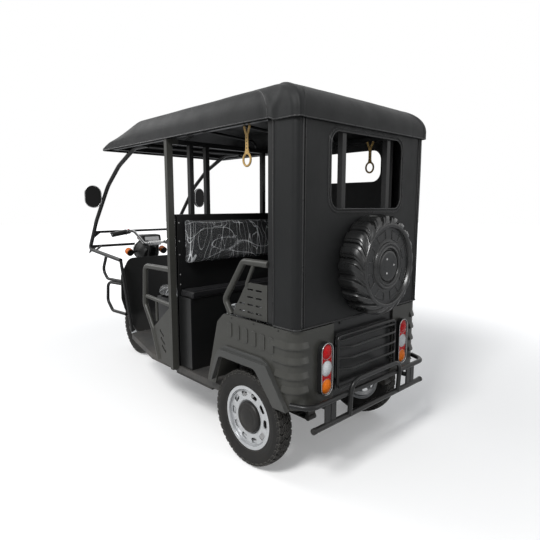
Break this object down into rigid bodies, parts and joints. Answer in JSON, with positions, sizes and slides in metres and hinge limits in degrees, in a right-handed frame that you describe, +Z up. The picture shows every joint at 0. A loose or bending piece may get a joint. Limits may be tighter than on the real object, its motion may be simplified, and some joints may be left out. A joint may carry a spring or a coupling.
{
  "type": "auto rickshaw",
  "caption": "Open passenger auto rickshaw with a black soft roof, dark olive rear body, side guard tubes and a moulded spare wheel cover.",
  "frame": {"origin": "ground level under the middle of the whole vehicle, on its centre plane", "axes": "+X forward, +Y to the vehicle's left, +Z up"},
  "size_m": [2.8106, 1.0954, 1.8709],
  "materials": {
    "olive_paint": "semi-matt dark olive grey",
    "black_paint": "satin black",
    "chassis_black": "matt black",
    "floor_steel": "dusty dark grey",
    "grey_plastic": "textured grey",
    "black_plastic": "satin",
    "lamp_plastic": "clear coloured lens",
    "canopy_vinyl": "grained vinyl with a soft sheen",
    "seat_vinyl": "grained vinyl",
    "strap_webbing": "woven",
    "wheel_silver": "silver",
    "tyre_rubber": "matt, a little dusty",
    "cast_housing": "as cast",
    "fork_steel": "gloss black",
    "bar_chrome": "bright",
    "mirror_shell": "gloss"
  },
  "bodies": {
    "chassis": {"chassis_frame": "chassis_black", "floor_panel": "floor_steel", "rear_axle": "chassis_black", "drive_motor": "cast_housing", "leaf_springs": "chassis_black", "battery_pack": "black_plastic", "quarter_left": "olive_paint", "quarter_right": "olive_paint", "rear_panel": "olive_paint", "arch_flares": "grey_plastic", "tail_lamps": "lamp_plastic", "canopy_frame": "black_paint", "partition_frame": "black_paint", "front_frame": "black_paint", "crash_guard": "black_paint", "roof_canopy": "canopy_vinyl", "rear_curtain": "canopy_vinyl", "side_curtain_right": "canopy_vinyl", "spare_cover": "black_plastic", "rear_rack": "black_paint", "rear_bumper": "black_paint", "passenger_side_guards": "black_paint", "driver_side_guards": "black_paint", "driver_seat_base": "black_paint", "driver_seat_cushion": "seat_vinyl", "partition_panel": "black_paint", "partition_pad": "seat_vinyl", "jump_seat_cushion": "seat_vinyl", "rear_bench_base": "black_paint", "rear_bench_cushion": "seat_vinyl", "rear_bench_backrest": "seat_vinyl", "grab_straps": "strap_webbing", "leg_shield": "black_plastic", "brake_pedal": "black_paint", "mirrors": "mirror_shell"},
    "steering": {"front_fork": "fork_steel", "front_fender": "black_plastic", "handlebar": "bar_chrome", "headlamp": "black_plastic", "instrument_panel": "black_plastic"},
    "front_wheel": {"front_tyre": "tyre_rubber", "front_rim": "wheel_silver"},
    "rear_wheel_left": {"rear_tyre_left": "tyre_rubber", "rear_rim_left": "wheel_silver"},
    "rear_wheel_right": {"rear_tyre_right": "tyre_rubber", "rear_rim_right": "wheel_silver"}
  },
  "joints": [
    {"name": "steering_turn", "type": "hinge", "parent": "chassis", "child": "steering", "pos_m": [1.12111, 0, 0.24168], "axis": [-0.309, 0, 0.9511], "range_deg": [-35, 35]},
    {"name": "front_wheel_spin", "type": "hinge", "parent": "steering", "child": "front_wheel", "pos_m": [1.1544, 0, 0.2525], "axis": [0, 1, 0], "continuous": true},
    {"name": "rear_wheel_left_spin", "type": "hinge", "parent": "chassis", "child": "rear_wheel_left", "pos_m": [-0.9056, 0.463, 0.2525], "axis": [0, 1, 0], "continuous": true},
    {"name": "rear_wheel_right_spin", "type": "hinge", "parent": "chassis", "child": "rear_wheel_right", "pos_m": [-0.9056, -0.463, 0.2525], "axis": [0, 1, 0], "continuous": true}
  ]
}
